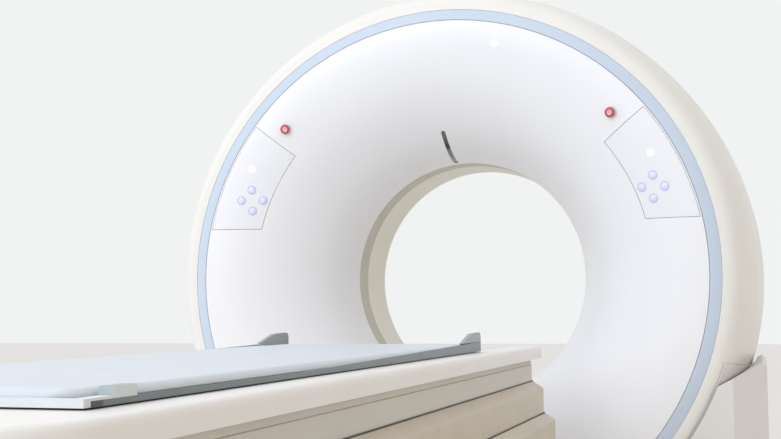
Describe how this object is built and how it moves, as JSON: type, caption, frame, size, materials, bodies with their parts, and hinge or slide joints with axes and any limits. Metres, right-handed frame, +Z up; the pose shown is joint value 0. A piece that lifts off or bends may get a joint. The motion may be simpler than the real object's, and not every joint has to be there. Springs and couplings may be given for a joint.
{
  "type": "ct scanner",
  "caption": "Ring gantry with a wide trumpet-shaped bore, spinning x-ray rotor, key panels and stop buttons, with a lifting patient couch whose tabletop slides through the bore",
  "frame": {"origin": "On the floor, straight below the point where the bore axis meets the scan plane", "axes": "+Z up; +Y along the bore, from the couch towards the rear of the gantry; +X to the right, seen from the couch end"},
  "size_m": [1.8953, 3.69, 1.9627],
  "materials": {
    "moulded_cover": "satin",
    "blue_trim": "satin",
    "couch_shell": "satin",
    "grey_band": "matte",
    "window_film": "satin",
    "laser_glass": "gloss",
    "panel_plastic": "satin",
    "key_plastic": "satin",
    "key_light": "gloss",
    "lamp_plastic": "gloss",
    "stop_red": "gloss",
    "frame_paint": "satin",
    "bearing_steel": "polished",
    "rotor_metal": "machined",
    "slip_metal": "polished",
    "brush_plastic": "matte",
    "housing_metal": "cast",
    "detector_metal": "anodised",
    "tank_paint": "satin",
    "weight_iron": "painted",
    "motor_metal": "painted",
    "pulley_metal": "machined",
    "belt_rubber": "matte",
    "column_steel": "ground",
    "roller_rubber": "matte",
    "tabletop_shell": "satin",
    "guard_plastic": "satin",
    "mattress_cover": "matte"
  },
  "bodies": {
    "stand": {"base_frame": "frame_paint", "gantry_frame": "frame_paint", "front_cover": "moulded_cover", "trim_ring": "blue_trim", "barrel_cover": "moulded_cover", "rear_cover": "moulded_cover", "scan_window": "window_film", "bore_tube": "moulded_cover", "foot_cover_left": "moulded_cover", "foot_cover_right": "moulded_cover", "laser_window": "laser_glass", "control_panel_left": "panel_plastic", "control_panel_right": "panel_plastic", "key_rings": "key_light", "face_lamps": "lamp_plastic", "stop_collars": "panel_plastic", "bearing_outer_race": "bearing_steel", "brush_block": "brush_plastic", "drive_motor": "motor_metal", "drive_belt": "belt_rubber", "couch_base": "frame_paint", "column_outer_tubes": "column_steel", "lift_spindles": "column_steel", "base_skirt": "couch_shell"},
    "rotor": {"rotor_plate": "rotor_metal", "bearing_inner_race": "bearing_steel", "slip_ring": "slip_metal", "tube_housing": "housing_metal", "collimator": "detector_metal", "detector_arc": "detector_metal", "high_voltage_tanks": "tank_paint", "tube_cooler": "housing_metal", "balance_weights": "weight_iron"},
    "ball_set": {"bearing_balls": "bearing_steel"},
    "pulley": {"drive_pulley": "pulley_metal"},
    "middle_tubes": {"column_middle_tubes": "column_steel"},
    "couch_top": {"column_inner_tubes": "column_steel", "lift_motors": "motor_metal", "couch_band": "grey_band", "couch_cover": "couch_shell", "couch_frame": "frame_paint", "table_drive": "motor_metal"},
    "upper_skirt_body": {"upper_skirt": "couch_shell"},
    "lower_skirt_body": {"lower_skirt": "couch_shell"},
    "roller": {"table_roller": "roller_rubber"},
    "tabletop_body": {"tabletop": "tabletop_shell", "tabletop_guards": "guard_plastic", "tabletop_end_bar": "guard_plastic", "table_carriage": "housing_metal", "mattress": "mattress_cover"},
    "key_left_up_body": {"key_left_up": "key_plastic"},
    "key_left_down_body": {"key_left_down": "key_plastic"},
    "key_left_inner_body": {"key_left_inner": "key_plastic"},
    "key_left_outer_body": {"key_left_outer": "key_plastic"},
    "stop_button_left_body": {"stop_button_left": "stop_red"},
    "key_right_up_body": {"key_right_up": "key_plastic"},
    "key_right_down_body": {"key_right_down": "key_plastic"},
    "key_right_inner_body": {"key_right_inner": "key_plastic"},
    "key_right_outer_body": {"key_right_outer": "key_plastic"},
    "stop_button_right_body": {"stop_button_right": "stop_red"}
  },
  "joints": [
    {"name": "rotor_spin", "type": "hinge", "parent": "stand", "child": "rotor", "pos_m": [0, 0.1, 1.015], "axis": [0, 1, 0], "continuous": true},
    {"name": "ball_travel", "type": "hinge", "parent": "stand", "child": "ball_set", "pos_m": [0, 0.145, 1.015], "axis": [0, 1, 0], "continuous": true},
    {"name": "pulley_spin", "type": "hinge", "parent": "stand", "child": "pulley", "pos_m": [0.431, 0.075, 0.26849], "axis": [0, 1, 0], "continuous": true},
    {"name": "couch_lift", "type": "slide", "parent": "stand", "child": "couch_top", "axis": [0, 0, 1], "range_m": [-0.31, 0.03]},
    {"name": "middle_tube_lift", "type": "slide", "parent": "stand", "child": "middle_tubes", "axis": [0, 0, 1], "range_m": [-0.156, 0.016]},
    {"name": "upper_skirt_lift", "type": "slide", "parent": "stand", "child": "upper_skirt_body", "axis": [0, 0, 1], "range_m": [-0.251, 0.0245]},
    {"name": "lower_skirt_lift", "type": "slide", "parent": "stand", "child": "lower_skirt_body", "axis": [0, 0, 1], "range_m": [-0.165, 0.0163]},
    {"name": "roller_spin", "type": "hinge", "parent": "couch_top", "child": "roller", "pos_m": [0, -1.275, 0.7497], "axis": [1, 0, 0], "continuous": true},
    {"name": "tabletop_slide", "type": "slide", "parent": "couch_top", "child": "tabletop_body", "axis": [0, 1, 0], "range_m": [-0.05, 1.6]},
    {"name": "key_left_up_press", "type": "slide", "parent": "stand", "child": "key_left_up_body", "axis": [-0.2302, 0.9677, 0.1032], "range_m": [0, 0.0015], "stiffness_N_per_m": 600, "springref_m": -0.0015},
    {"name": "key_left_down_press", "type": "slide", "parent": "stand", "child": "key_left_down_body", "axis": [-0.2954, 0.95, 0.1011], "range_m": [0, 0.0015], "stiffness_N_per_m": 600, "springref_m": -0.0015},
    {"name": "key_left_inner_press", "type": "slide", "parent": "stand", "child": "key_left_inner_body", "axis": [-0.3309, 0.9335, 0.1381], "range_m": [0, 0.0015], "stiffness_N_per_m": 600, "springref_m": -0.0015},
    {"name": "key_left_outer_press", "type": "slide", "parent": "stand", "child": "key_left_outer_body", "axis": [-0.1932, 0.9785, 0.0725], "range_m": [0, 0.0015], "stiffness_N_per_m": 600, "springref_m": -0.0015},
    {"name": "stop_button_left_press", "type": "slide", "parent": "stand", "child": "stop_button_left_body", "axis": [-0.1717, 0.9723, 0.1584], "range_m": [0, 0.005]},
    {"name": "key_right_up_press", "type": "slide", "parent": "stand", "child": "key_right_up_body", "axis": [0.2302, 0.9677, 0.1032], "range_m": [0, 0.0015], "stiffness_N_per_m": 600, "springref_m": -0.0015},
    {"name": "key_right_down_press", "type": "slide", "parent": "stand", "child": "key_right_down_body", "axis": [0.2954, 0.95, 0.1011], "range_m": [0, 0.0015], "stiffness_N_per_m": 600, "springref_m": -0.0015},
    {"name": "key_right_inner_press", "type": "slide", "parent": "stand", "child": "key_right_inner_body", "axis": [0.3309, 0.9335, 0.1381], "range_m": [0, 0.0015], "stiffness_N_per_m": 600, "springref_m": -0.0015},
    {"name": "key_right_outer_press", "type": "slide", "parent": "stand", "child": "key_right_outer_body", "axis": [0.1932, 0.9785, 0.0725], "range_m": [0, 0.0015], "stiffness_N_per_m": 600, "springref_m": -0.0015},
    {"name": "stop_button_right_press", "type": "slide", "parent": "stand", "child": "stop_button_right_body", "axis": [0.1717, 0.9723, 0.1584], "range_m": [0, 0.005]}
  ],
  "couplings": [
    {"joint": "ball_travel", "follows": "rotor_spin", "ratio": 0.4843},
    {"joint": "pulley_spin", "follows": "rotor_spin", "ratio": 17.225},
    {"joint": "middle_tube_lift", "follows": "couch_lift", "ratio": 0.5},
    {"joint": "upper_skirt_lift", "follows": "couch_lift", "ratio": 0.806},
    {"joint": "lower_skirt_lift", "follows": "couch_lift", "ratio": 0.53},
    {"joint": "roller_spin", "follows": "tabletop_slide", "rad_per_m": -33.003}
  ]
}
